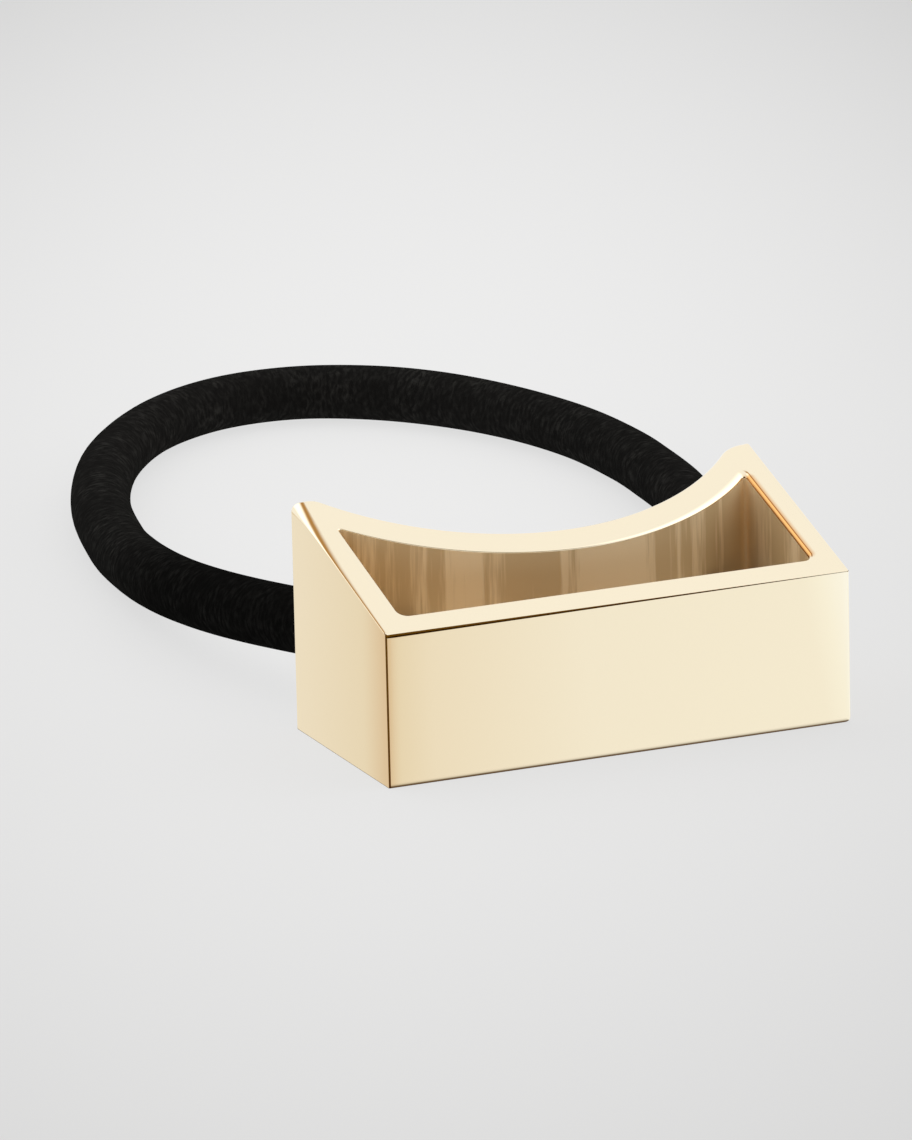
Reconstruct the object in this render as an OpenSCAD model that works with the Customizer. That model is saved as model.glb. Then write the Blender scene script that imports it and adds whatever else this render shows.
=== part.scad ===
// Ponytail cuff: a square-cut metal tube with a hollowed back, and the elastic loop that it holds.
// Millimetres. X runs along the front face, Y runs back from it, Z is up.
// The origin is the middle of the cuff's bottom.

/* [Metal cuff] */
// Width of the cuff along its front face
cuff_w = 44; // [40:0.5:52]
// Depth of the cuff from its front face to its back tips
cuff_d = 20.8; // [19:0.2:25]
// Height of the front face
front_h = 13.7; // [12.5:0.1:18]
// Height of the back tips, so that the rim slants down to the front
back_h = 20.6; // [18:0.1:26]
// Thickness of the front wall
front_wall = 2.4; // [1.6:0.1:3]
// Thickness of the two side walls
side_wall = 2.4; // [1.6:0.1:3]
// Thickness of the hollowed back wall
back_wall = 3; // [2:0.1:3.6]

/* [Seat for the hair] */
// Radius of the hollow in the back that hugs the ponytail
seat_r = 26.1; // [25:0.1:34]
// Depth of that hollow below the back tips
seat_depth = 9.1; // [6:0.1:10]

/* [Roundings] */
// Radius of the two upright corners at the back
back_corner_r = 0.8; // [0.2:0.1:1.4]
// Radius of the two upright corners at the front
front_corner_r = 0.3; // [0.1:0.1:1.4]
// Radius of the two front corners inside the tube
inner_corner_r = 1; // [0.2:0.1:2]

/* [Elastic] */
// Diameter of the elastic
elastic_d = 5.4; // [4:0.1:6]
// How much wider than the elastic its two holes are
hole_clearance = 0.4; // [0.2:0.1:0.8]
// Height of the holes' middle above the cuff's bottom
hole_z = 7.6; // [6:0.1:9]
// Height at which the elastic lies above the surface under it
lie_gap = 0.1; // [0.05:0.05:0.5]
// Sides of the elastic's tube
elastic_sides = 12; // [8:1:12]

/* [End stops] */
// Wall of the cap that closes each end of the elastic
stop_wall = 0.85; // [0.7:0.05:1.2]
// Length of each cap
stop_l = 4.4; // [4:0.1:6]
// Thickness of the cap's closed end
stop_end = 0.9; // [0.6:0.1:1.5]
// Space between a cap and the elastic in it
stop_fit = 0.05; // [0.02:0.01:0.1]
// Space between a cap and the back wall that it pulls against
stop_gap = 0.1; // [0.05:0.05:0.3]
// Space between a cap and the side wall beside it
stop_side_gap = 0.4; // [0.2:0.1:1]

/* [Hidden] */

// Facets of round things
round_fn = 180;
// How far a cut runs past the surface that it opens
past = 1;

half_w = cuff_w / 2;
half_d = cuff_d / 2;
// The seat and the back wall's inner face share this upright axis
seat_y = half_d + seat_r - seat_depth;
hollow_r = seat_r + back_wall;

hole_r = (elastic_d + hole_clearance) / 2;
stop_r = elastic_d / 2 + stop_fit + stop_wall;
// The caps stand beside the side walls, and the holes are in line with them
hole_x = half_w - side_wall - stop_side_gap - stop_r;
// Each cap's mouth touches the sloping back wall first on the side towards the middle
stop_mouth_y = wall_y(hollow_r, hole_x - stop_r) - stop_gap;
stop_floor_y = stop_mouth_y - stop_l + stop_end;
lie_z = elastic_d / 2 + lie_gap;

// The holes' place and the cuff's half depth that the route below is drawn for
route_hole_x = 15.6;
route_half_d = 10.4;
// The elastic's route outside its two holes, from the left one round to the right one.
// Columns: X, Y, and how far it has come down, from 0 at the holes' height to 1 on the surface
ROUTE = [
    [-16, 14, 0.04],
    [-17.8, 20.5, 0.15],
    [-19.3, 27, 0.27],
    [-20.1, 34, 0.42],
    [-20.2, 41.5, 0.59],
    [-19.8, 49, 0.77],
    [-18.8, 57, 0.92],
    [-17.3, 65, 0.98],
    [-13.9, 77, 1],
    [-9.5, 88, 1],
    [-4, 98, 1],
    [3, 105.6, 1],
    [11, 110.1, 1],
    [19, 110.5, 1],
    [26, 107.3, 1],
    [31.5, 101.1, 1],
    [35.3, 92.5, 1],
    [37.5, 82.5, 1],
    [38.3, 73, 1],
    [38, 65.5, 0.97],
    [36.9, 58, 0.92],
    [34.7, 50, 0.82],
    [31.4, 42, 0.66],
    [27.5, 34, 0.47],
    [23.3, 26.8, 0.29],
    [19.2, 20.5, 0.14],
    [16.3, 14.5, 0.04],
];
// The elastic's two ends run straight from the floors of their caps until they are out of their holes
cap_y = stop_floor_y + stop_fit;
out_y = min(half_d, wall_y(seat_r, hole_x + hole_r));
LEFT_END = [for (y = [cap_y, wall_y(hollow_r, hole_x), out_y]) [-hole_x, y, hole_z]];
RIGHT_END = [for (i = [2:-1:0]) [hole_x, LEFT_END[i].y, hole_z]];
// The route follows the holes and the back tips when they move
LOOP = [for (p = ROUTE)
    [p.x * hole_x / route_hole_x, p.y + half_d - route_half_d, hole_z + (lie_z - hole_z) * p.z]];
PATH = concat(LEFT_END, LOOP, RIGHT_END);
// Rings from one of the path's points to the next
rings_per_point = 2;

// Y of an upright round wall of radius r about the seat's axis, at the place x along the cuff
function wall_y(r, x) = seat_y - sqrt(r * r - x * x);

// Point at share t from b to c on the smooth curve through a, b, c and d
function on_curve(a, b, c, d, t) =
    0.5 * (2 * b + (c - a) * t + (2 * a - 5 * b + 4 * c - d) * t * t + (3 * b - a - 3 * c + d) * t * t * t);
function smooth_path(points, steps) = [
    for (i = [0:len(points) - 2], k = [0:steps - 1])
        on_curve(points[max(i - 1, 0)], points[i], points[i + 1], points[min(i + 2, len(points) - 1)], k / steps),
    points[len(points) - 1]
];
function unit(v) = v / norm(v);
function heading(line, i) = unit(line[min(i + 1, len(line) - 1)] - line[max(i - 1, 0)]);
// One ring of the tube, square to the line, with a flat side down
function ring(line, i, r, sides) =
    let (
        along = heading(line, i),
        across = unit(cross([0, 0, 1], along)),
        up = cross(along, across)
    )
    [for (k = [0:sides - 1])
        let (a = 360 * (k + 0.5) / sides)
        line[i] + r * (cos(a) * across + sin(a) * up)];

// Closed tube of radius r with its middle on the line
module tube(line, r, sides) {
    count = len(line);
    points = [for (i = [0:count - 1]) each ring(line, i, r, sides)];
    first_cap = [for (k = [0:sides - 1]) k];
    last_cap = [for (k = [sides - 1:-1:0]) (count - 1) * sides + k];
    sleeve = [for (i = [0:count - 2], k = [0:sides - 1])
        let (j = (k + 1) % sides)
        each [
            [i * sides + k, (i + 1) * sides + k, (i + 1) * sides + j],
            [i * sides + k, (i + 1) * sides + j, i * sides + j]
        ]];
    polyhedron(points, concat([first_cap], sleeve, [last_cap]));
}

// What a square corner loses to a rounding of radius r; the corner is at the origin, the body in +X +Y
module corner_waste(r) {
    difference() {
        translate([-past, -past]) square(r + past);
        translate([r, r]) circle(r, $fn = round_fn);
    }
}

// The cuff seen from above, without its hollow
module outer_plan() {
    difference() {
        square([cuff_w, cuff_d], center = true);
        translate([0, seat_y]) circle(seat_r, $fn = round_fn);
        for (side = [-1, 1]) scale([side, 1]) {
            translate([-half_w, -half_d]) corner_waste(front_corner_r);
            translate([-half_w, half_d]) mirror([0, 1]) corner_waste(back_corner_r);
        }
    }
}

// The hollow seen from above
module hollow_plan() {
    difference() {
        translate([-half_w + side_wall, -half_d + front_wall])
            square([cuff_w - 2 * side_wall, cuff_d]);
        translate([0, seat_y]) circle(hollow_r, $fn = round_fn);
        for (side = [-1, 1]) scale([side, 1])
            translate([-half_w + side_wall, -half_d + front_wall]) corner_waste(inner_corner_r);
    }
}

// Everything under the slanted rim
module under_rim() {
    translate([-half_w - past, 0, 0]) rotate([90, 0, 90])
        linear_extrude(cuff_w + 2 * past)
            polygon([[-half_d, 0], [half_d, 0], [half_d, back_h], [-half_d, front_h]]);
}

module elastic_hole(x) {
    translate([x, wall_y(hollow_r, 0), hole_z]) rotate([-90, 0, 0])
        cylinder(h = cuff_d, r = hole_r, $fn = round_fn);
}

module cuff() {
    color([0.96, 0.86, 0.66]) difference() {
        intersection() {
            linear_extrude(back_h + past) outer_plan();
            under_rim();
        }
        translate([0, 0, -past]) linear_extrude(back_h + 2 * past) hollow_plan();
        elastic_hole(-hole_x);
        elastic_hole(hole_x);
    }
}

module elastic() {
    color([0.06, 0.06, 0.06])
        tube(smooth_path(PATH, rings_per_point), elastic_d / 2, elastic_sides);
}

// Plain cap on an end of the elastic, with its mouth towards the back wall
module end_stop(x) {
    color([0.9, 0.78, 0.56])
        translate([x, stop_mouth_y, hole_z]) rotate([90, 0, 0]) difference() {
            cylinder(h = stop_l, r = stop_r, $fn = round_fn);
            translate([0, 0, -past])
                cylinder(h = stop_l - stop_end + past, r = elastic_d / 2 + stop_fit, $fn = round_fn);
        }
}

module left_end_stop() {
    end_stop(-hole_x);
}

module right_end_stop() {
    end_stop(hole_x);
}

cuff();
elastic();
left_end_stop();
right_end_stop();
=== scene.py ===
"""Dresses the ponytail cuff: the elastic loop, the polished cuff, the caps inside it, and a plain studio.

Metres throughout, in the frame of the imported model: X along the cuff's front face, Y back from it, Z up.
"""

from math import atan2, cos, degrees, pi, radians, sin, sqrt

import bmesh
import bpy
from bpy.props import FloatProperty, FloatVectorProperty, IntProperty, PointerProperty
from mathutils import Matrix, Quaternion, Vector


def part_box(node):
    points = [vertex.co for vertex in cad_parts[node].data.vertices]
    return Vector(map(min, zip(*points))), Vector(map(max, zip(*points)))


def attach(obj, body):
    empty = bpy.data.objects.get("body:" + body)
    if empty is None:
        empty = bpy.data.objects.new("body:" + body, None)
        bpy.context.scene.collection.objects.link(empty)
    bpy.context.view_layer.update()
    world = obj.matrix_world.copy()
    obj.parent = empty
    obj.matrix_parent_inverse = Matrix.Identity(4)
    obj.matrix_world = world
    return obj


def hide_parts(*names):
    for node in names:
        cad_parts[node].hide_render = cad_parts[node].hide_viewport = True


bl_info = {
    "name": "Ponytail Cuff",
    "version": (1, 0, 0),
    "blender": (4, 5, 0),
    "location": "3D View > Sidebar > Ponytail Cuff",
    "description": "Makes a polished ponytail cuff with its elastic loop, on a plain studio floor",
    "category": "Object",
}

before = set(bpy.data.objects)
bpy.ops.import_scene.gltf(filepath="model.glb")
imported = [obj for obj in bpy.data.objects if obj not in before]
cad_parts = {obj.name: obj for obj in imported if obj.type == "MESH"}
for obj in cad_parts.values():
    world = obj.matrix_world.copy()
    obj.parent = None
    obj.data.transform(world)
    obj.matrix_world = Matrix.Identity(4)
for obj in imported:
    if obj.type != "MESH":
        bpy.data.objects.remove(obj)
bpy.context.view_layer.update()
CUFF_LOW, CUFF_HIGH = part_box("cuff")
CAP_LOW, CAP_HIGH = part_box("right_end_stop")
HOLE_X = (CAP_LOW.x + CAP_HIGH.x) / 2
HOLE_Z = (CAP_LOW.z + CAP_HIGH.z) / 2
BODY = "root"
MM = 0.001
# The elastic's ends stop this far behind the caps' closed faces, and its loop lies this far above the surface
CAP_END = 0.95 * MM
LIE_GAP = 0.1 * MM
# Edges that turn less than this are shaded smooth, on the elastic and on the cuff
ELASTIC_SMOOTH = radians(50)
CUFF_SMOOTH = radians(38)
# The nearest and the farthest that the camera sees
CAMERA_REACH = (0.05, 20)

# The elastic's route outside its two holes, from the left one round to the right one.
# Columns: X, Y, and how far it has come down, from 0 at the holes' height to 1 on the surface
ROUTE = [
    (-0.016, 0.014, 0.04),
    (-0.0178, 0.0205, 0.15),
    (-0.0193, 0.027, 0.27),
    (-0.0201, 0.034, 0.42),
    (-0.0202, 0.0415, 0.59),
    (-0.0196, 0.0493, 0.77),
    (-0.01855, 0.0573, 0.92),
    (-0.0173, 0.065, 0.98),
    (-0.0142, 0.077, 1),
    (-0.00955, 0.0883, 1),
    (-0.00405, 0.0976, 1),
    (0.003, 0.1055, 1),
    (0.011, 0.1101, 1),
    (0.019, 0.1105, 1),
    (0.0259, 0.107, 1),
    (0.03135, 0.1008, 1),
    (0.0353, 0.0925, 1),
    (0.0377, 0.0828, 1),
    (0.03825, 0.07285, 1),
    (0.03755, 0.0648, 0.97),
    (0.0364, 0.0572, 0.92),
    (0.03435, 0.0495, 0.82),
    (0.0314, 0.042, 0.66),
    (0.0275, 0.034, 0.47),
    (0.0233, 0.0268, 0.29),
    (0.0192, 0.0205, 0.14),
    (0.0163, 0.0145, 0.04),
]


class CuffSettings(bpy.types.PropertyGroup):
    """Sizes and colours of the metal cuff."""

    front_height: FloatProperty(
        name="Front height", description="Height of the front face", default=0.0137, unit="LENGTH")
    wall: FloatProperty(
        name="Wall", description="Thickness of the front and side walls", default=0.0024, unit="LENGTH")
    back_wall: FloatProperty(
        name="Back wall", description="Thickness of the hollowed back wall", default=0.003, unit="LENGTH")
    seat_radius: FloatProperty(
        name="Seat radius", description="Radius of the hollow that hugs the hair", default=0.0261,
        unit="LENGTH")
    seat_depth: FloatProperty(
        name="Seat depth", description="Depth of that hollow below the back tips", default=0.0091,
        unit="LENGTH")
    hole_radius: FloatProperty(
        name="Hole radius", description="Radius of the elastic's two holes", default=0.0029, unit="LENGTH")
    foot_rounding: FloatProperty(
        name="Foot rounding", description="Rounding of the lower edges", default=0.0002, unit="LENGTH")
    gold: FloatVectorProperty(
        name="Gold", description="Colour of the plating", default=(0.98, 0.874, 0.665), subtype="COLOR")
    # Painted reflection: a deeper gold for the hollow's right edge, where it mirrors gold
    painted_gold_reflection: FloatVectorProperty(
        name="Painted gold reflection", description="Colour of the gold where it mirrors gold", default=(0.77, 0.41, 0.145),
        subtype="COLOR")
    polish: FloatProperty(
        name="Roughness", description="Roughness of the polish", default=0.05, subtype="FACTOR")
    inner_wall: FloatVectorProperty(
        name="Inner wall", description="Colour of the satin inner walls", default=(0.72, 0.53, 0.29),
        subtype="COLOR")
    streak: FloatVectorProperty(
        name="Streaks", description="Colour of their upright streaks", default=(1.0, 0.79, 0.5),
        subtype="COLOR")
    # Painted reflection: the dark brown that the front face's two sharp edges take for the dark that they
    # mirror
    painted_dark_reflection: FloatVectorProperty(
        name="Painted dark reflection", description="Colour of the front face's sharp edges", default=(0.13, 0.055, 0.004),
        subtype="COLOR")


class ElasticSettings(bpy.types.PropertyGroup):
    """Sizes and colours of the elastic."""

    diameter: FloatProperty(
        name="Diameter", description="Diameter of the relaxed elastic", default=0.0054, unit="LENGTH")
    length: FloatProperty(
        name="Length", description="Length of the elastic from end to end", default=0.2583, unit="LENGTH")
    sides: IntProperty(
        name="Sides", description="Sides of the elastic's section", default=48)
    steps: IntProperty(
        name="Steps", description="Rings from one point of the route to the next", default=8)
    black: FloatVectorProperty(
        name="Black", description="Colour deep in the pile", default=(0.0125, 0.0121, 0.0115),
        subtype="COLOR")
    grey: FloatVectorProperty(
        name="Grey", description="Colour of the fibres that catch the light", default=(0.05, 0.049, 0.0455),
        subtype="COLOR")


class StudioSettings(bpy.types.PropertyGroup):
    """Camera, floor and light."""

    camera_place: FloatVectorProperty(
        name="Camera", description="Place of the camera", default=(-0.3232, -0.7324, 0.2350),
        subtype="TRANSLATION")
    camera_aim: FloatVectorProperty(
        name="Aim", description="Point that the camera looks at", default=(-0.0131, -0.0052, 0.0171),
        subtype="TRANSLATION")
    camera_roll: FloatProperty(
        name="Roll", description="Turn of the camera about its view", default=radians(-1.35), subtype="ANGLE")
    lens: FloatProperty(
        name="Lens", description="Focal length on a 36 mm sensor", default=300.3, unit="CAMERA")
    floor: FloatVectorProperty(
        name="Floor", description="Colour of the floor", default=(0.12, 0.12, 0.12), subtype="COLOR")
    floor_glow: FloatProperty(
        name="Floor glow", description="Light that the floor gives by itself", default=0.703)
    under_edge: FloatVectorProperty(
        name="Under edge", description="What the lower edge mirrors of the gap under it",
        default=(0.085, 0.04, 0.006), subtype="COLOR")


def clear_selection():
    """Deselects everything."""
    for item in bpy.context.selected_objects:
        item.select_set(False)


def only(piece):
    """Selects this piece alone and makes it active."""
    clear_selection()
    piece.select_set(True)
    bpy.context.view_layer.objects.active = piece


def apply_modifier(piece, kind, **fields):
    """Adds a modifier with these fields and applies it."""
    only(piece)
    modifier = piece.modifiers.new(kind.title(), kind)
    for name, value in fields.items():
        setattr(modifier, name, value)
    bpy.ops.object.modifier_apply(modifier=modifier.name)


def fill(tree, node, inputs):
    """Fills inputs with a link from another socket or with a value, which for a colour is three numbers."""
    for key, value in inputs.items():
        socket = node.inputs[key]
        if isinstance(value, bpy.types.NodeSocket):
            tree.links.new(value, socket)
        elif socket.type == "RGBA":
            socket.default_value = (*value, 1)
        else:
            socket.default_value = value


def add(tree, kind, inputs=None, **fields):
    """Adds a node, sets its fields and fills its inputs."""
    node = tree.nodes.new(kind)
    for name, value in fields.items():
        setattr(node, name, value)
    fill(tree, node, inputs or {})
    return node


def find(tree, kind):
    """The tree's first node of this type."""
    return next(node for node in tree.nodes if node.type == kind)


def object_place(tree):
    """The place on the piece, which all its patterns follow."""
    return add(tree, "ShaderNodeTexCoord").outputs["Object"]


def value_of(tree, operation, *values):
    """What a Math node makes of these."""
    return add(tree, "ShaderNodeMath", dict(enumerate(values)), operation=operation).outputs[0]


def vector_of(tree, operation, *values):
    """What a Vector Math node makes of these, which for a measure is a number."""
    node = add(tree, "ShaderNodeVectorMath", dict(enumerate(values)), operation=operation)
    measure = operation in ("DISTANCE", "DOT_PRODUCT", "LENGTH")
    return node.outputs["Value" if measure else "Vector"]


def mapped(tree, value, span, onto=(0, 1), smooth=False):
    """A value taken from one span onto another, and held at its ends."""
    return add(tree, "ShaderNodeMapRange", {
        "Value": value, "From Min": span[0], "From Max": span[1], "To Min": onto[0], "To Max": onto[1]},
        interpolation_type="SMOOTHSTEP" if smooth else "LINEAR").outputs[0]


def noise(tree, place, scale, detail, roughness=0.5, output="Fac"):
    """Noise at this place, as a value or a colour."""
    return add(tree, "ShaderNodeTexNoise", {
        "Vector": place, "Scale": scale, "Detail": detail, "Roughness": roughness}).outputs[output]


def mixed(tree, share, first, second):
    """A colour that passes from the first to the second as the share grows."""
    return add(tree, "ShaderNodeMix", {"Factor": share, "A": first, "B": second},
               data_type="RGBA").outputs["Result"]


def colour_ramp(tree, share, stops, interpolation="LINEAR"):
    """The colour at this share of a ramp, whose stops each have a position and a colour."""
    node = add(tree, "ShaderNodeValToRGB", {"Fac": share})
    ramp = node.color_ramp
    ramp.interpolation = interpolation
    for _ in stops[2:]:
        ramp.elements.new(1)
    for element, (position, colour) in zip(ramp.elements, stops):
        element.position = position
        element.color = (*colour, 1)
    return node.outputs["Color"]


def greys(stops):
    """The same stops with a grey in place of each brightness."""
    return [(position, (bright, bright, bright)) for position, bright in stops]


def bumped(tree, height, distance):
    """The normal of a surface with this relief."""
    return add(tree, "ShaderNodeBump", {
        "Height": height, "Strength": 1.0, "Distance": distance}).outputs["Normal"]


def new_material(name):
    """A material with only its output and a Principled shader."""
    material = bpy.data.materials.new(name)
    material.use_nodes = True
    tree = material.node_tree
    tree.nodes.clear()
    shader = add(tree, "ShaderNodeBsdfPrincipled")
    add(tree, "ShaderNodeOutputMaterial", {"Surface": shader.outputs["BSDF"]})
    return material, tree, shader


def new_group(name, inputs, outputs):
    """A shader node group with float, vector or colour sockets, and its input and output nodes."""
    group = bpy.data.node_groups.new(name, "ShaderNodeTree")
    for in_out, sockets in (("INPUT", inputs), ("OUTPUT", outputs)):
        for socket, kind in sockets.items():
            group.interface.new_socket(socket, in_out=in_out, socket_type="NodeSocket" + kind)
    return group, group.nodes.new("NodeGroupInput").outputs, group.nodes.new("NodeGroupOutput")


# Repeats in a metre of the haze under the polish's marks
HAZE_SCALE = 160


def polish_marks():
    """Group: what a polishing wheel leaves, as a height for the bump and a roughness that varies."""
    name = "polish_marks"
    if name in bpy.data.node_groups:
        return bpy.data.node_groups[name]
    group, given, result = new_group(
        name,
        {"Place": "Vector", "Stretch": "Vector", "Roughness": "Float", "Unevenness": "Float"},
        {"Height": "Float", "Roughness": "Float"})
    drawn = vector_of(group, "MULTIPLY", given["Place"], given["Stretch"])
    lines = noise(group, drawn, 1.0, detail=4.0, roughness=0.62)
    haze = noise(group, given["Place"], HAZE_SCALE, detail=3.0)
    off = value_of(group, "SUBTRACT", value_of(group, "ADD", lines, haze), 1.0)
    rough = value_of(group, "MULTIPLY_ADD", off, given["Unevenness"], given["Roughness"])
    fill(group, result, {"Height": lines, "Roughness": rough})
    return group


# The marks of each finish: how fine they are along each axis, how far the roughness varies, and their depth
POLISHED = {"stretch": (900, 60, 60), "uneven": 0.03, "bump": 0.0004 * MM}
DRAWN = {"roughness": 0.5, "stretch": (900, 900, 25), "uneven": 0.12, "bump": 0.004 * MM}
SATIN = {"roughness": 0.3, "stretch": (400, 2500, 2500), "uneven": 0.2, "bump": 0.003 * MM}


def gold_material(name, colour, roughness, stretch, uneven, bump):
    """Gold plating with polish marks, which are drawn out along the axes on which they are coarse."""
    material, tree, shader = new_material(name)
    marks = add(tree, "ShaderNodeGroup", {
        "Place": object_place(tree), "Stretch": stretch, "Roughness": roughness, "Unevenness": uneven},
        node_tree=polish_marks()).outputs
    fill(tree, shader, {
        "Base Color": colour, "Metallic": 1, "Roughness": marks["Roughness"],
        "Normal": bumped(tree, marks["Height"], bump)})
    return material


# How fine the streaks are along each axis, and the noise at which they begin to be light and are lightest
STREAK_STRETCH = (270, 270, 16)
STREAK_LIGHT = (0.46, 0.56)
# How bright the inner walls are at shares of the cuff's width
INNER_BRIGHTNESS = [(0.05, 1), (0.3, 0.96), (0.5, 0.84), (0.8, 0.8), (0.94, 0.84)]
# Painted light against the shade in the hollow's right back corner: nearer to it than the first distance,
# the wall passes into the streaks' colour at full brightness, and has that colour whole from the second one
# on
CORNER_PAINTED_LIGHT = (5 * MM, 0.5 * MM)
# Leaves the height out of a place
FROM_ABOVE = (1, 1, 0)


def inner_wall_material(settings):
    """Satin inner walls, darker and browner than the polish, with broken upright streaks left by drawing."""
    material = gold_material("drawn_gold", settings.gold, **DRAWN)
    tree = material.node_tree
    place = object_place(tree)
    upright = vector_of(tree, "MULTIPLY", place, STREAK_STRETCH)
    streaks = noise(tree, upright, 1.0, detail=5.0, roughness=0.7)
    light = mapped(tree, streaks, STREAK_LIGHT, smooth=True)
    # Darker in the middle of the cuff's width than towards the two ends
    along = add(tree, "ShaderNodeSeparateXYZ", {0: place}).outputs["X"]
    share = mapped(tree, along, (CUFF_LOW.x, CUFF_HIGH.x))
    width_brightness = colour_ramp(tree, share, greys(INNER_BRIGHTNESS))
    side = CUFF_HIGH.x - settings.wall
    corner = (side, wall_y(settings, settings.seat_radius + settings.back_wall, side), 0)
    away = vector_of(tree, "DISTANCE", vector_of(tree, "MULTIPLY", place, FROM_ABOVE), corner)
    # Painted light: the wall is lightened towards the hollow's right back corner, where it lies in shade
    near = mapped(tree, away, CORNER_PAINTED_LIGHT)
    drawn = mixed(tree, value_of(tree, "MAXIMUM", light, near), settings.inner_wall, settings.streak)
    brightness = vector_of(tree, "MAXIMUM", width_brightness, near)
    fill(tree, find(tree, "BSDF_PRINCIPLED"), {
        "Base Color": vector_of(tree, "MULTIPLY", drawn, brightness), "Metallic": 0.1})
    return material


# Painted reflection: a deeper gold from the first distance to the hollow's right wall, full from the second
GOLD_REFLECTION_REACH = (0.8 * MM, 0.15 * MM)


def gold_reflection_material(settings):
    """The polish on the hollow's right edge, with a painted reflection: deeper gold towards its wall."""
    material = gold_material("gold_reflection_edge_gold", settings.gold, settings.polish, **POLISHED)
    tree = material.node_tree
    # How far this place is from the wall's straight part, seen from above
    side = CUFF_HIGH.x - settings.wall
    front = CUFF_LOW.y + settings.wall + HOLLOW_CORNERS["front"]
    back = wall_y(settings, settings.seat_radius + settings.back_wall, side) - GOLD_REFLECTION_REACH[0]
    off = vector_of(tree, "SUBTRACT", object_place(tree), (side, (front + back) / 2, 0))
    size = vector_of(tree, "ABSOLUTE", vector_of(tree, "MULTIPLY", off, FROM_ABOVE))
    past = vector_of(tree, "SUBTRACT", size, (0, (back - front) / 2, 0))
    away = vector_of(tree, "LENGTH", vector_of(tree, "MAXIMUM", past, (0, 0, 0)))
    # Painted reflection: the deeper gold grows towards the hollow's right wall
    depth = mapped(tree, away, GOLD_REFLECTION_REACH, smooth=True)
    fill(tree, find(tree, "BSDF_PRINCIPLED"), {
        "Base Color": mixed(tree, depth, settings.gold, settings.painted_gold_reflection)})
    return material


# The tube's UV map, which is in metres along the elastic and round it
TUBE_MAP = "along_and_round"
# Repeats in a metre of the fibres' lean, their tufts and the soft patches
LEAN_SCALE = 260
TUFT_SCALE = 900
PATCH_SCALE = 210
# How far the fibres lean, how fine they are along the elastic and round it, and the depth of the pile
FIBRE_LEAN = (1.6 * MM, 1.6 * MM, 0)
FIBRE_STRETCH = (2400, 1000, 0)
PILE_DEPTH = 0.12 * MM
# The noise at which each begins to be light and is lightest, and the least light of tufts and patches
FIBRE_LIGHT = (0.38, 0.7)
TUFT_LIGHT = (0.35, 0.7)
TUFT_LEAST = 0.25
PATCH_LIGHT = (0.35, 0.68)
PATCH_LEAST = 0.35
# Painted light and shade along the elastic: how bright its pile is at shares of its length
PAINTED_LIGHT_ALONG = [(0, 0.31), (0.16, 0.31), (0.26, 0.65), (0.34, 0.71), (0.5, 0.74), (0.58, 0.74), (0.66, 0.64),
           (0.72, 0.62), (1, 0.62)]


def pile_material(settings):
    """Brushed black cover: short fibres across the cord, in soft patches, on the tube's own UV map."""
    material, tree, shader = new_material("brushed_black_cover")
    place = add(tree, "ShaderNodeUVMap", uv_map=TUBE_MAP).outputs["UV"]
    lean = noise(tree, place, LEAN_SCALE, detail=2.0, output="Color")
    shift = vector_of(tree, "SUBTRACT", lean, (0.5, 0.5, 0.5))
    bent = vector_of(tree, "MULTIPLY_ADD", shift, FIBRE_LEAN, place)
    across = vector_of(tree, "MULTIPLY", bent, FIBRE_STRETCH)
    fibres = noise(tree, across, 1.0, detail=3.0, roughness=0.6)
    tufts = noise(tree, place, TUFT_SCALE, detail=3.0)
    patches = noise(tree, place, PATCH_SCALE, detail=2.0)
    lit = mapped(tree, fibres, FIBRE_LIGHT, smooth=True)
    thick = mapped(tree, tufts, TUFT_LIGHT, onto=(TUFT_LEAST, 1))
    patchy = mapped(tree, patches, PATCH_LIGHT, onto=(PATCH_LEAST, 1))
    laid = value_of(tree, "MULTIPLY", value_of(tree, "MULTIPLY", lit, thick), patchy)
    along = add(tree, "ShaderNodeSeparateXYZ", {0: place}).outputs["X"]
    share = value_of(tree, "DIVIDE", along, settings.length)
    # Painted light and shade: the pile is made lighter or darker stretch by stretch along the elastic
    painted_light = colour_ramp(tree, share, greys(PAINTED_LIGHT_ALONG), "EASE")
    pile = mixed(tree, laid, settings.black, settings.grey)
    height = value_of(tree, "ADD", fibres, tufts)
    fill(tree, shader, {
        "Base Color": vector_of(tree, "MULTIPLY", pile, painted_light), "Roughness": 0.95,
        "Specular IOR Level": 0, "Normal": bumped(tree, height, PILE_DEPTH)})
    return material


def smooth_line(points, steps):
    """The points of a smooth curve through all of these, with so many steps from one to the next."""
    line = []
    for i in range(len(points) - 1):
        a, b, c, d = (points[min(max(i + k, 0), len(points) - 1)] for k in (-1, 0, 1, 2))
        for k in range(steps):
            t = k / steps
            line.append(0.5 * (2 * b + (c - a) * t + (2 * a - 5 * b + 4 * c - d) * t ** 2
                               + (3 * b - a - 3 * c + d) * t ** 3))
    return line + [points[-1]]


def seat_y(cuff):
    """Y of the upright axis that the seat and the back wall's inner face share."""
    return CUFF_HIGH.y + cuff.seat_radius - cuff.seat_depth


def wall_y(cuff, radius, x):
    """Y of an upright round wall of this radius about the seat's axis, at this place along the cuff."""
    return seat_y(cuff) - sqrt(radius ** 2 - x ** 2)


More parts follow.
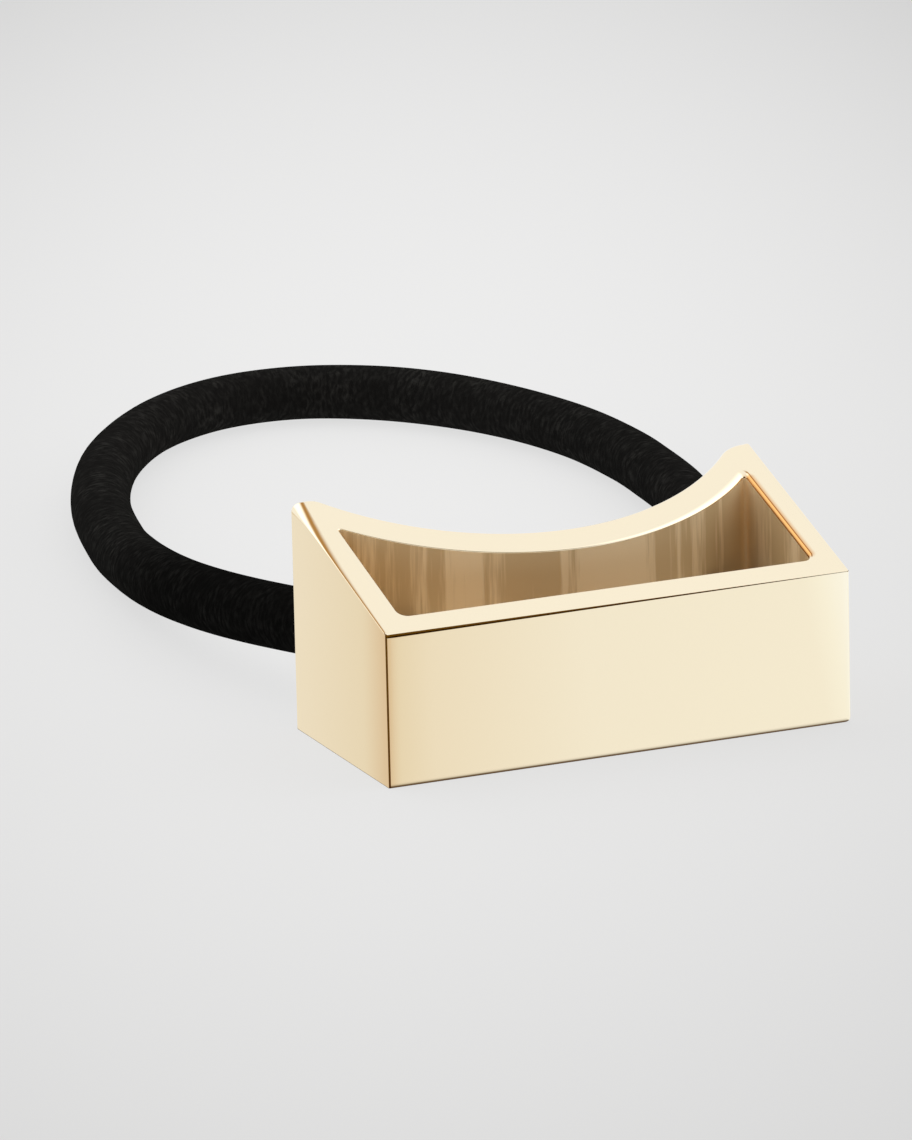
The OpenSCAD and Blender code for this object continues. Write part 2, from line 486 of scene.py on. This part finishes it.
def elastic_path(cuff, elastic):
    """The elastic's own points: straight through the left cap and hole, round the loop, and back in."""
    lie_z = elastic.diameter / 2 + LIE_GAP
    # Just clear of the cap's closed end, then the hole's two mouths
    ends = [CAP_LOW.y + CAP_END,
            wall_y(cuff, cuff.seat_radius + cuff.back_wall, HOLE_X),
            wall_y(cuff, cuff.seat_radius, HOLE_X + cuff.hole_radius)]
    left = [Vector((-HOLE_X, y, HOLE_Z)) for y in ends]
    right = [Vector((HOLE_X, y, HOLE_Z)) for y in reversed(ends)]
    loop = [Vector((x, y, HOLE_Z + (lie_z - HOLE_Z) * share)) for x, y, share in ROUTE]
    return left + loop + right


# Width of the elastic at shares of its length, where it is fluffed up or drawn tight
FLUFF = [(0, 1), (0.05, 1), (0.09, 1.09), (0.2, 1.08), (0.26, 1.055), (0.36, 1.05), (0.44, 0.965),
         (0.5, 0.97), (0.56, 1.0), (0.62, 0.972), (0.7, 1), (1, 1)]
# The least room between the pile and the surface
PILE_GAP = 0.05 * MM


def width_at(share):
    """The elastic's width at a share of its length, as a share of its diameter."""
    for (a, wa), (b, wb) in zip(FLUFF, FLUFF[1:]):
        if share <= b:
            t = (share - a) / (b - a)
            return wa + (wb - wa) * t * t * (3 - 2 * t)
    return FLUFF[-1][1]


def elastic_rings(line, along, settings):
    """The centres of the elastic's rings, and the points of each ring from its bottom round."""
    centres, points = [], []
    for i, middle in enumerate(line):
        radius = settings.diameter / 2 * width_at(along[i] / along[-1])
        centre = Vector((middle.x, middle.y, max(middle.z, radius + PILE_GAP)))
        ahead = (line[min(i + 1, len(line) - 1)] - line[max(i - 1, 0)]).normalized()
        across = Vector((0, 0, 1)).cross(ahead).normalized()
        up = ahead.cross(across)
        centres.append(centre)
        for k in range(settings.sides):
            turn = 2 * pi * k / settings.sides - pi / 2
            points.append(centre + radius * (cos(turn) * across + sin(turn) * up))
    return centres, points


def tube_faces(rings, sides):
    """The faces of a closed tube: its first end, its sleeve and its last end."""
    first_end = list(reversed(range(sides)))
    sleeve = [[i * sides + k, i * sides + (k + 1) % sides, (i + 1) * sides + (k + 1) % sides,
               (i + 1) * sides + k] for i in range(rings - 1) for k in range(sides)]
    last_end = [(rings - 1) * sides + k for k in range(sides)]
    return [first_end, *sleeve, last_end]


def map_tube(mesh, along, sides, girth):
    """Gives a tube its UV map, in metres along it and round it."""
    layer = mesh.uv_layers.new(name=TUBE_MAP)
    for face in mesh.polygons:
        for corner, loop_index in enumerate(face.loop_indices):
            index = mesh.loops[loop_index].vertex_index
            turn = index % sides
            # The last side closes the round, so its far edge is the map's end and not its start
            if len(face.vertices) == 4 and turn == 0 and corner in (1, 2):
                turn = sides
            layer.data[loop_index].uv = (along[index // sides], girth * turn / sides)


class PONYTAIL_CUFF_OT_camera(bpy.types.Operator):
    """Add the camera at the photograph's viewing angle"""

    bl_idname = "ponytail_cuff.camera"
    bl_label = "Camera"

    def execute(self, context):
        settings = context.scene.ponytail_studio
        clear_selection()
        bpy.ops.object.camera_add(location=settings.camera_place)
        camera = context.object
        view = Vector(settings.camera_aim) - Vector(settings.camera_place)
        turn = view.to_track_quat("-Z", "Y") @ Quaternion((0, 0, 1), settings.camera_roll)
        camera.rotation_euler = turn.to_euler()
        camera.name = "camera"
        camera.data.lens = settings.lens
        camera.data.clip_start, camera.data.clip_end = CAMERA_REACH
        context.scene.camera = camera
        return {"FINISHED"}


class PONYTAIL_CUFF_OT_elastic(bpy.types.Operator):
    """Make the elastic loop as one tube along its route"""

    bl_idname = "ponytail_cuff.elastic"
    bl_label = "Elastic"

    def execute(self, context):
        cuff = context.scene.ponytail_cuff
        settings = context.scene.ponytail_elastic
        line = smooth_line(elastic_path(cuff, settings), settings.steps)
        along = [0.0]
        for a, b in zip(line, line[1:]):
            along.append(along[-1] + (b - a).length)
        centres, points = elastic_rings(line, along, settings)
        mesh = bpy.data.meshes.new("elastic_loop")
        mesh.from_pydata(points, [], tube_faces(len(line), settings.sides))
        map_tube(mesh, along, settings.sides, pi * settings.diameter)
        mesh.validate()
        loop = bpy.data.objects.new("elastic_loop", mesh)
        context.collection.objects.link(loop)
        only(loop)
        bpy.ops.object.shade_smooth_by_angle(angle=ELASTIC_SMOOTH)
        mesh.materials.append(pile_material(settings))
        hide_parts("elastic")
        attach(loop, BODY)
        return {"FINISHED"}


def spread(start, end, count):
    """So many values from start to end, with both."""
    return [start + (end - start) * i / (count - 1) for i in range(count)]


def arc(middle, radius, start, end, count):
    """So many points along an arc from one angle to another, in degrees."""
    return [Vector((middle[0] + radius * cos(radians(a)), middle[1] + radius * sin(radians(a))))
            for a in spread(start, end, count)]


def angle_to(middle, point):
    """Angle in degrees from a middle to a point."""
    return degrees(atan2(point[1] - middle[1], point[0] - middle[0]))


def between(a, b, shares):
    """Points on the straight line from a to b at these shares of it."""
    return [a.lerp(b, t) for t in shares]


# Points on each upright corner, on the flat of each back tip, and on the seat
CORNER_POINTS = 9
TIP_SHARES = (0.25, 0.5, 0.75)
SEAT_POINTS = 141
# Shares of a flat side at which it has points, closer together near its ends
SIDE_SHARES = (0.01, 0.03, 0.06, 0.1, 0.16, 0.25, 0.37, 0.5, 0.63, 0.75, 0.84, 0.9, 0.94, 0.97, 0.99)
# How fast a rounding grows thinner along the seat, and its reach and its drop along the left side
WANE = 3
REACH_WANE = 1.7
DROP_WANE = 7
# How far the rim's outer edges are rounded into its flat, and how far down the walls
OUTSIDE_REACH = {"front_left": 0.34 * MM, "front_right": 0.04 * MM, "right": 0.12 * MM,
                 "back_right": 0.6 * MM, "back_left": 0.25 * MM, "left_back": 1.15 * MM,
                 "left_front": 0.24 * MM}
OUTSIDE_DROP = {**OUTSIDE_REACH, "back_right": 0.7 * MM, "left_back": 0.9 * MM,
                "left_front": 0.03 * MM}
# The same for its inner edges
INSIDE_REACH = {"front_left": 0.15 * MM, "front_right": 0.15 * MM, "right": 0.34 * MM,
                "back_right": 0.85 * MM, "back_left": 0.05 * MM, "left_back": 0.08 * MM,
                "left_front": 0.12 * MM}
INSIDE_DROP = {**INSIDE_REACH, "right": 0.3 * MM, "back_right": 0.4 * MM}
# Shares of the foot rounding that each side's lower edge has
FOOT_SHARES = {"front_left": 1.1, "front_right": 0.9, "right": 3, "back_right": 1, "back_left": 1,
               "left_back": 0.3, "left_front": 0.3}
# Radii of the upright corners, at the walls and at the rim
OUTSIDE_CORNERS = {"left_front": 0.14 * MM, "right_front": 0.25 * MM, "right_back": 0.3 * MM,
                   "left_back": 0.2 * MM, "right_lip": 4.0 * MM, "left_lip": 1.6 * MM}
RIM_CORNERS = {**OUTSIDE_CORNERS, "right_back": 0.15 * MM, "left_back": 0.1 * MM, "right_lip": 2.8 * MM,
               "left_lip": 1.2 * MM}
HOLLOW_CORNERS = {"front": 1.0 * MM, "right_back": 0.25 * MM, "left_back": 0.25 * MM}
HOLLOW_RIM_CORNERS = {**HOLLOW_CORNERS, "right_back": 0.7 * MM}
# Rings round each edge of the rim and of the foot, and the two of the rim's front edge between which it has
# the painted dark reflection
RIM_STEPS = 9
FOOT_STEPS = 5
DARK_REFLECTION_STEPS = (1, 5)
# Width of the strip beside each rounding that keeps the flat next to it shaded flat
HOLD = 0.04 * MM
# Sides of the elastic's two holes
HOLE_SIDES = 96
# The cuff's material slots after its first one, the polish, which every other face keeps
WALL_SLOT = 1
GOLD_REFLECTION_SLOT = 2
DARK_REFLECTION_SLOT = 3


def mirrored(points):
    """The same points on the other side of X = 0, in reverse order."""
    return [Vector((-p.x, p.y)) for p in reversed(points)]


def waning(start, end, shares, power=WANE):
    """Values that leave the start quickly and then come slowly to the end."""
    return [end + (start - end) * (1 - t) ** power for t in shares]


def seat_line(seat, right, left, right_radius, left_radius):
    """Points of an upright round wall between two points on it, without those two."""
    shares = spread(0, 1, SEAT_POINTS)[1:-1]
    start, end = angle_to(seat, right), angle_to(seat, left)
    return [Vector((seat[0] + r * cos(radians(start + (end - start) * t)),
                    seat[1] + r * sin(radians(start + (end - start) * t))))
            for t, r in zip(shares, waning(right_radius, left_radius, shares))]


def left_side(back, front):
    """Points of the left side from its back end to its front end."""
    return [Vector((x, back.y + (front.y - back.y) * t))
            for t, x in zip(SIDE_SHARES, waning(back.x, front.x, SIDE_SHARES, REACH_WANE))]


def whole_outline(right_front, right_back, hug, left_back, left_front):
    """One outline out of its corners and the seat's line, with the flat sides between them."""
    return (right_front + between(right_front[-1], right_back[0], SIDE_SHARES) + right_back + hug
            + left_back + left_side(left_back[-1], left_front[0]) + left_front
            + between(left_front[-1], right_front[0], SIDE_SHARES))


def outer_outline(cuff, cut, corners):
    """The cuff's plan, anticlockwise from its front right corner, with each side moved in by its own cut."""
    seat = (0, seat_y(cuff))

    def back_end(side, hug, tip, lip):
        half = CUFF_HIGH.x - side
        back = CUFF_HIGH.y - hug
        radius = cuff.seat_radius + hug
        middle = (sqrt((radius + lip) ** 2 - (seat[1] - back + lip) ** 2), back - lip)
        corner = arc((half - tip, back - tip), tip, 0, 90, CORNER_POINTS)
        turn = arc(middle, lip, 90, angle_to(middle, seat), CORNER_POINTS)
        return corner + between(corner[-1], turn[0], TIP_SHARES) + turn

    def front_end(side, forward, rounding):
        half = CUFF_HIGH.x - side
        front = CUFF_LOW.y + forward
        return arc((half - rounding, front + rounding), rounding, -90, 0, CORNER_POINTS)

    right_front = front_end(cut["right"], cut["front_right"], corners["right_front"])
    right_back = back_end(cut["right"], cut["back_right"], corners["right_back"], corners["right_lip"])
    left_back = mirrored(
        back_end(cut["left_back"], cut["back_left"], corners["left_back"], corners["left_lip"]))
    left_front = mirrored(front_end(cut["left_front"], cut["front_left"], corners["left_front"]))
    hug = seat_line(seat, right_back[-1], left_back[0], cuff.seat_radius + cut["back_right"],
                    cuff.seat_radius + cut["back_left"])
    return whole_outline(right_front, right_back, hug, left_back, left_front)


def hollow_outline(cuff, cut, corners):
    """The hollow's plan, point for point beside the outer one, with each side cut back into its wall."""
    seat = (0, seat_y(cuff))
    count = 2 * CORNER_POINTS + len(TIP_SHARES)

    def back_end(side, hug, turn):
        half = CUFF_HIGH.x - cuff.wall + side
        radius = cuff.seat_radius + cuff.back_wall - hug
        middle = (half - turn, seat[1] - sqrt((radius + turn) ** 2 - (half - turn) ** 2))
        return arc(middle, turn, 0, angle_to(middle, seat), count)

    def front_end(side, forward):
        half = CUFF_HIGH.x - cuff.wall + side
        front = CUFF_LOW.y + cuff.wall - forward
        turn = corners["front"]
        return arc((half - turn, front + turn), turn, -90, 0, CORNER_POINTS)

    right_front = front_end(cut["right"], cut["front_right"])
    right_back = back_end(cut["right"], cut["back_right"], corners["right_back"])
    left_back = mirrored(back_end(cut["left_back"], cut["back_left"], corners["left_back"]))
    left_front = mirrored(front_end(cut["left_front"], cut["front_left"]))
    hollow = cuff.seat_radius + cuff.back_wall
    hug = seat_line(seat, right_back[-1], left_back[0], hollow - cut["back_right"], hollow - cut["back_left"])
    return whole_outline(right_front, right_back, hug, left_back, left_front)


def along_outline(sizes):
    """A size for each point of an outline, passing smoothly from one side's to the next side's."""
    back_points = 2 * CORNER_POINTS + len(TIP_SHARES)
    seat_shares = spread(0, 1, SEAT_POINTS)[1:-1]
    side_points = len(SIDE_SHARES)
    return (spread(sizes["front_right"], sizes["right"], CORNER_POINTS) + [sizes["right"]] * side_points
            + spread(sizes["right"], sizes["back_right"], back_points)
            + waning(sizes["back_right"], sizes["back_left"], seat_shares)
            + spread(sizes["back_left"], sizes["left_back"], back_points)
            + waning(sizes["left_back"], sizes["left_front"], SIDE_SHARES, DROP_WANE)
            + spread(sizes["left_front"], sizes["front_left"], CORNER_POINTS)
            + [sizes["front_left"] + (sizes["front_right"] - sizes["front_left"]) * t for t in SIDE_SHARES])


def even(size):
    """The same size on every side."""
    return dict.fromkeys(OUTSIDE_REACH, size)


def rim_z(cuff, y):
    """Height of the slanted rim at this depth."""
    slope = (CUFF_HIGH.z - cuff.front_height) / (CUFF_HIGH.y - CUFF_LOW.y)
    return cuff.front_height + slope * (y - CUFF_LOW.y)


def held(wall, flat):
    """A point a little way into the flat beside a rounding."""
    return flat + (flat - wall).normalized() * HOLD


def foot_rings(wall, flat, rise):
    """Rings round a lower edge, from the flat underside out to the upright wall."""
    heights = along_outline(rise)
    rings = [[(*held(w, f), 0) for w, f in zip(wall, flat)]]
    for turn in spread(0, pi / 2, FOOT_STEPS):
        rings.append([(*w.lerp(f, 1 - sin(turn)), h * (1 - cos(turn)))
                      for w, f, h in zip(wall, flat, heights)])
    return rings + [[(*w, h + HOLD) for w, h in zip(wall, heights)]]


def rim_rings(cuff, wall, flat, drop):
    """Rings round an upper edge, from the upright wall out to the slanted flat of the rim."""
    drops = along_outline(drop)
    rings = [[(*w, rim_z(cuff, w.y) - d - HOLD) for w, d in zip(wall, drops)]]
    for turn in spread(0, pi / 2, RIM_STEPS):
        ring = []
        for w, f, d in zip(wall, flat, drops):
            p = w.lerp(f, 1 - cos(turn))
            ring.append((p.x, p.y, rim_z(cuff, p.y) - d * (1 - sin(turn))))
        rings.append(ring)
    return rings + [[(p.x, p.y, rim_z(cuff, p.y)) for p in map(held, wall, flat)]]


def set_ring(piece, ring):
    """Puts the selected vertices on this ring, each at its own place in it."""
    mesh = bmesh.from_edit_mesh(piece.data)
    place = mesh.verts.layers.int["ring_place"]
    for vertex in mesh.verts:
        if vertex.select:
            vertex.co = ring[vertex[place]]
    bmesh.update_edit_mesh(piece.data)


def loft(name, rings):
    """A closed wall, extruded ring by ring from a circle and bridged from its last ring to its first."""
    count = len(rings[0])
    clear_selection()
    bpy.ops.mesh.primitive_circle_add(vertices=count, radius=CUFF_HIGH.x)
    piece = bpy.context.object
    piece.name = name
    place = piece.data.attributes.new("ring_place", "INT", "POINT")
    place.data.foreach_set("value", range(count))
    bpy.ops.object.mode_set(mode="EDIT")
    bpy.ops.mesh.select_mode(type="VERT")
    bpy.ops.mesh.select_all(action="SELECT")
    set_ring(piece, rings[0])
    for ring in rings[1:]:
        bpy.ops.mesh.extrude_edges_move()
        set_ring(piece, ring)
    mesh = bmesh.from_edit_mesh(piece.data)
    mesh.verts.ensure_lookup_table()
    last = count * (len(rings) - 1)
    for vertex in mesh.verts:
        vertex.select = vertex.index < count or vertex.index >= last
    mesh.select_flush_mode()
    for edge in mesh.edges:
        edge.select = all(v.select for v in edge.verts) and len(edge.link_faces) < 2
    bmesh.update_edit_mesh(piece.data)
    bpy.ops.mesh.select_mode(type="EDGE")
    bpy.ops.mesh.bridge_edge_loops()
    bpy.ops.mesh.select_all(action="SELECT")
    bpy.ops.mesh.normals_make_consistent(inside=False)
    bpy.ops.object.mode_set(mode="OBJECT")
    piece.data.attributes.remove(piece.data.attributes["ring_place"])
    return piece


def set_finishes(piece, settings, count, outside, inner_edge):
    """Gives each of the cuff's faces its slot, by its place and by the rings that it lies between.

    A ring has count points. The rings go up the outside, over the inner edge and down the inner wall.
    """
    wall_start = outside + inner_edge - 1
    rim_start = outside - 1 - RIM_STEPS
    dark_reflection_rings = range(rim_start + DARK_REFLECTION_STEPS[0], rim_start + DARK_REFLECTION_STEPS[1])
    gold_reflection_start = CUFF_HIGH.x - settings.wall - HOLLOW_CORNERS["front"]
    corner_x = CUFF_LOW.x + OUTSIDE_CORNERS["left_front"]
    corner_y = CUFF_LOW.y + OUTSIDE_CORNERS["left_front"]
    front_edge = CUFF_LOW.y + OUTSIDE_REACH["front_left"]
    for face in piece.data.polygons:
        rings = [vertex // count for vertex in face.vertices]
        first, last = min(rings), max(rings)
        x, y, _ = face.center
        if first == wall_start and last == wall_start + 1:
            face.material_index = WALL_SLOT
        # Painted reflection: the rim and inner edge beside the hollow's right wall get the deeper gold
        elif first >= outside - 1 and last <= wall_start and x > gold_reflection_start:
            face.material_index = GOLD_REFLECTION_SLOT
        # Painted reflection: the front left upright corner and a band of the front edge's rounding get the
        # dark brown
        elif (x < corner_x and y < corner_y) or (first in dark_reflection_rings and y < front_edge):
            face.material_index = DARK_REFLECTION_SLOT


def drill_holes(piece, settings):
    """Cuts the elastic's two round holes through the back wall."""
    for side in (-1, 1):
        clear_selection()
        bpy.ops.mesh.primitive_cylinder_add(
            vertices=HOLE_SIDES, radius=settings.hole_radius, depth=CUFF_HIGH.y + 2 * settings.wall,
            location=(side * HOLE_X, CUFF_HIGH.y / 2, HOLE_Z), rotation=(pi / 2, 0, 0))
        drill = bpy.context.object
        apply_modifier(piece, "BOOLEAN", object=drill, operation="DIFFERENCE", solver="EXACT")
        bpy.data.objects.remove(drill)


class PONYTAIL_CUFF_OT_cuff(bpy.types.Operator):
    """Make the polished metal cuff with its rounded edges and its two holes"""

    bl_idname = "ponytail_cuff.cuff"
    bl_label = "Cuff"

    def execute(self, context):
        settings = context.scene.ponytail_cuff
        foot = settings.foot_rounding
        outer_foot = {side: foot * share for side, share in FOOT_SHARES.items()}
        outer_wall = outer_outline(settings, even(0), OUTSIDE_CORNERS)
        outer_sole = outer_outline(settings, outer_foot, OUTSIDE_CORNERS)
        outer_rim = outer_outline(settings, OUTSIDE_REACH, RIM_CORNERS)
        inner_wall = hollow_outline(settings, even(0), HOLLOW_CORNERS)
        inner_sole = hollow_outline(settings, even(foot), HOLLOW_CORNERS)
        inner_rim = hollow_outline(settings, INSIDE_REACH, HOLLOW_RIM_CORNERS)
        outside = (foot_rings(outer_wall, outer_sole, outer_foot)
                   + rim_rings(settings, outer_wall, outer_rim, OUTSIDE_DROP))
        inner_edge = rim_rings(settings, inner_wall, inner_rim, INSIDE_DROP)[::-1]
        inner_foot = foot_rings(inner_wall, inner_sole, even(foot))[::-1]
        piece = loft("polished_cuff", outside + inner_edge + inner_foot)
        set_finishes(piece, settings, len(outer_wall), len(outside), len(inner_edge))
        drill_holes(piece, settings)
        only(piece)
        bpy.ops.object.shade_smooth_by_angle(angle=CUFF_SMOOTH)
        apply_modifier(piece, "WEIGHTED_NORMAL", keep_sharp=True)
        # In the order of the slots
        for material in (
                gold_material("polished_gold", settings.gold, settings.polish, **POLISHED),
                inner_wall_material(settings),
                gold_reflection_material(settings),
                gold_material("painted_dark_reflection_gold", settings.painted_dark_reflection, settings.polish, **POLISHED)):
            piece.data.materials.append(material)
        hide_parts("cuff")
        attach(piece, BODY)
        return {"FINISHED"}


class PONYTAIL_CUFF_OT_end_stops(bpy.types.Operator):
    """Give the two caps on the elastic's ends their satin finish"""

    bl_idname = "ponytail_cuff.end_stops"
    bl_label = "End stops"

    def execute(self, context):
        settings = context.scene.ponytail_cuff
        satin = gold_material("satin_gold", settings.gold, **SATIN)
        for name in ("left_end_stop", "right_end_stop"):
            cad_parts[name].material_slots[0].material = satin
        return {"FINISHED"}


# Cards and lamps that stand far off: name, direction, half angle and softness in degrees, radiance
FAR_CARDS = [
    ("dark_room", (-0.25, -0.95, 0.15), 45, 8, (0.11, 0.06, 0.012)),
    ("brown_card", (0.13, 0.52, 0.84), 11, 4, (0.45, 0.25, 0.085)),
    ("left_lamp", (-0.27, 0.515, 0.815), 18, 8, (1.5, 1.5, 1.48)),
    ("right_lamp", (0.83, -0.1, 0.5), 26, 14, (1.55, 1.55, 1.52)),
]
SKY = (0.97, 0.97, 0.97)
# What polished faces mirror of the floor, which is most shaded along a line that runs on from the cuff's
# left front edge. Columns: distance to the right of that line, radiance
MIRRORED_FLOOR = [
    (-20 * MM, (0.88, 0.85, 0.79)),
    (-4 * MM, (0.79, 0.7, 0.57)),
    (0, (0.72, 0.58, 0.43)),
    (1.0 * MM, (0.815, 0.755, 0.645)),
    (4 * MM, (0.86, 0.82, 0.75)),
    (18 * MM, (0.914, 0.914, 0.9)),
    (38.6 * MM, (0.93, 0.94, 0.935)),
    (40.4 * MM, (0.96, 0.99, 1.0)),
    (43 * MM, (0.99, 1.05, 1.14)),
]
# The distances at the two ends of the ramp that holds them
SHADE_START = -22 * MM
SHADE_END = 50 * MM
# Beside the cuff, which its left side mirrors, the light grows this much as fast, from this far behind its
# front face on
SIDE_SHADE = 0.5
SIDE_START = 1 * MM
# Where the dark gap under the cuff's lower edge ends in mirrors: before and behind the cuff, beside it, and
# in its hollow, each from where the gap is dark to where the floor is open, outwards from the cuff's box
GAP_AHEAD = (-0.2 * MM, 1.4 * MM)
GAP_BESIDE = (0, 0.1 * MM)
GAP_INSIDE = (-1.0 * MM, -1.6 * MM)
# Seen from above: square to the view that the front face mirrors, square to the camera's view, and along it
ACROSS_MIRRORED = (0.923, 0.385, 0)
ACROSS_VIEW = (0.92, -0.392, 0)
ALONG_VIEW = (0.392, 0.92, 0)
# The floor's brightest place for the camera, how far off its glow has lost the named share, and how many
# times that share it loses at most
BRIGHT_PLACE = (0.0263, 0.1002, 0)
BRIGHT_REACH = (0.0563, 0.1848)
BRIGHT_LOSS = 0.08
MOST_LOSSES = 2.5
# Side of the square floor
FLOOR_SIZE = 12
# A wide soft lamp over the cuff
LAMP_PLACE = (0, 0.05, 1.3)
LAMP_SIZE = 2
LAMP_ENERGY = 3


def studio_world():
    """A bright tent with its dark front, its brown card and its two lamps, all fixed in the room."""
    world = bpy.data.worlds.new("studio")
    world.use_nodes = True
    tree = world.node_tree
    tree.nodes.clear()
    towards = add(tree, "ShaderNodeTexCoord").outputs["Generated"]
    light = add(tree, "ShaderNodeCombineXYZ", {"X": SKY[0], "Y": SKY[1], "Z": SKY[2]}).outputs[0]
    for name, direction, half_angle, soft, radiance in FAR_CARDS:
        near = add(tree, "ShaderNodeVectorMath", {0: towards, 1: Vector(direction).normalized()},
                   operation="DOT_PRODUCT", name=name)
        edge = (cos(radians(half_angle + soft)), cos(radians(half_angle - soft)))
        seen = mapped(tree, near.outputs["Value"], edge, smooth=True)
        light = add(tree, "ShaderNodeMix", {"Factor": seen, "A": light, "B": radiance},
                    data_type="VECTOR").outputs["Result"]
    glow = add(tree, "ShaderNodeBackground", {"Color": light, "Strength": 1.0})
    add(tree, "ShaderNodeOutputWorld", {"Surface": glow.outputs[0]})
    return world


def floor_glow(tree, place, brightest):
    """The floor's light for the camera, with a soft fall-off round its brightest place."""
    off = vector_of(tree, "SUBTRACT", place, BRIGHT_PLACE)
    parts = [vector_of(tree, "DOT_PRODUCT", off, Vector(axis) / reach)
             for axis, reach in zip((ACROSS_VIEW, ALONG_VIEW), BRIGHT_REACH)]
    far = value_of(tree, "ADD", *[value_of(tree, "POWER", part, 2.0) for part in parts])
    lost = value_of(tree, "MINIMUM", far, MOST_LOSSES)
    return value_of(tree, "MULTIPLY_ADD", lost, -BRIGHT_LOSS, brightest)


def mirrored_floor(tree, place):
    """The floor's light in mirrors, shaded beside the cuff's left front edge."""
    corner = vector_of(tree, "SUBTRACT", place, (CUFF_LOW.x, CUFF_LOW.y, 0))
    past = vector_of(tree, "DOT_PRODUCT", corner, ACROSS_MIRRORED)
    depth = add(tree, "ShaderNodeSeparateXYZ", {0: corner}).outputs["Y"]
    slower = mapped(tree, depth, (0, SIDE_START), onto=(1, SIDE_SHADE))
    share = mapped(tree, value_of(tree, "MULTIPLY", past, slower), (SHADE_START, SHADE_END))
    return colour_ramp(tree, share, [((distance - SHADE_START) / (SHADE_END - SHADE_START), radiance)
                                     for distance, radiance in MIRRORED_FLOOR])


def open_floor(tree, place):
    """1 on the open floor and 0 in the dark gap under the cuff's lower edge."""
    size = vector_of(tree, "ABSOLUTE", place)
    beyond = vector_of(tree, "SUBTRACT", size, (CUFF_HIGH.x, -CUFF_LOW.y, 0))
    sides = add(tree, "ShaderNodeSeparateXYZ", {0: beyond}).outputs
    ahead = mapped(tree, sides["Y"], GAP_AHEAD, smooth=True)
    beside = mapped(tree, sides["X"], GAP_BESIDE, smooth=True)
    nearest = value_of(tree, "MAXIMUM", sides["X"], sides["Y"])
    inside = mapped(tree, nearest, GAP_INSIDE, smooth=True)
    return value_of(tree, "MAXIMUM", value_of(tree, "MAXIMUM", ahead, beside), inside)


def floor_material(settings):
    """A pale light table. In mirrors it is shaded beside the left front edge and dark under the cuff."""
    material, tree, shader = new_material("pale_floor")
    place = object_place(tree)
    fill(tree, shader, {
        "Base Color": settings.floor, "Roughness": 0.9, "Specular IOR Level": 0.1,
        "Emission Color": (1, 1, 1), "Emission Strength": floor_glow(tree, place, settings.floor_glow)})
    glow = mixed(tree, open_floor(tree, place), settings.under_edge, mirrored_floor(tree, place))
    mirror = add(tree, "ShaderNodeEmission", {"Color": glow})
    ray = add(tree, "ShaderNodeLightPath").outputs["Is Glossy Ray"]
    both = add(tree, "ShaderNodeMixShader", {0: ray, 1: shader.outputs[0], 2: mirror.outputs[0]})
    fill(tree, find(tree, "OUTPUT_MATERIAL"), {"Surface": both.outputs[0]})
    return material


class PONYTAIL_CUFF_OT_studio(bpy.types.Operator):
    """Add the pale floor, the room and its soft light"""

    bl_idname = "ponytail_cuff.studio"
    bl_label = "Studio"

    def execute(self, context):
        settings = context.scene.ponytail_studio
        clear_selection()
        bpy.ops.mesh.primitive_plane_add(size=FLOOR_SIZE, location=(0, 0, 0))
        floor = context.object
        floor.name = "floor"
        floor.data.materials.append(floor_material(settings))
        context.scene.world = studio_world()
        bpy.ops.object.light_add(type="AREA", location=LAMP_PLACE)
        lamp = context.object
        lamp.name = "top_lamp"
        lamp.data.shape = "DISK"
        lamp.data.size = LAMP_SIZE
        lamp.data.energy = LAMP_ENERGY
        lamp.rotation_euler = (Vector((0, 0, 0)) - lamp.location).to_track_quat("-Z", "Y").to_euler()
        lamp.visible_glossy = False
        context.scene.view_settings.view_transform = "Standard"
        return {"FINISHED"}


class PONYTAIL_CUFF_PT_panel(bpy.types.Panel):
    """Lists the pieces in the order in which they are made"""

    bl_idname = "PONYTAIL_CUFF_PT_panel"
    bl_label = "Ponytail Cuff"
    bl_space_type = "VIEW_3D"
    bl_region_type = "UI"
    bl_category = "Ponytail Cuff"

    def draw(self, context):
        for step in STEPS:
            self.layout.operator(step.bl_idname)
        for group in GROUPS:
            settings = getattr(context.scene, group)
            for name in settings.bl_rna.properties.keys():
                if name not in ("name", "rna_type"):
                    self.layout.prop(settings, name)


STEPS = [PONYTAIL_CUFF_OT_camera, PONYTAIL_CUFF_OT_elastic, PONYTAIL_CUFF_OT_cuff, PONYTAIL_CUFF_OT_end_stops,
         PONYTAIL_CUFF_OT_studio]
GROUPS = {"ponytail_cuff": CuffSettings, "ponytail_elastic": ElasticSettings,
          "ponytail_studio": StudioSettings}


def register():
    """Registers the classes and gives each scene its settings."""
    for group in GROUPS.values():
        bpy.utils.register_class(group)
    for name, group in GROUPS.items():
        setattr(bpy.types.Scene, name, PointerProperty(type=group))
    for item in (*STEPS, PONYTAIL_CUFF_PT_panel):
        bpy.utils.register_class(item)


def unregister():
    """Takes the settings and the classes away again."""
    for item in (PONYTAIL_CUFF_PT_panel, *reversed(STEPS)):
        bpy.utils.unregister_class(item)
    for name in GROUPS:
        delattr(bpy.types.Scene, name)
    for group in GROUPS.values():
        bpy.utils.unregister_class(group)


def main():
    """Makes the pieces in order."""
    register()
    bpy.ops.ponytail_cuff.camera()
    bpy.ops.ponytail_cuff.elastic()
    bpy.ops.ponytail_cuff.cuff()
    bpy.ops.ponytail_cuff.end_stops()
    bpy.ops.ponytail_cuff.studio()


if __name__ == "__main__":
    main()
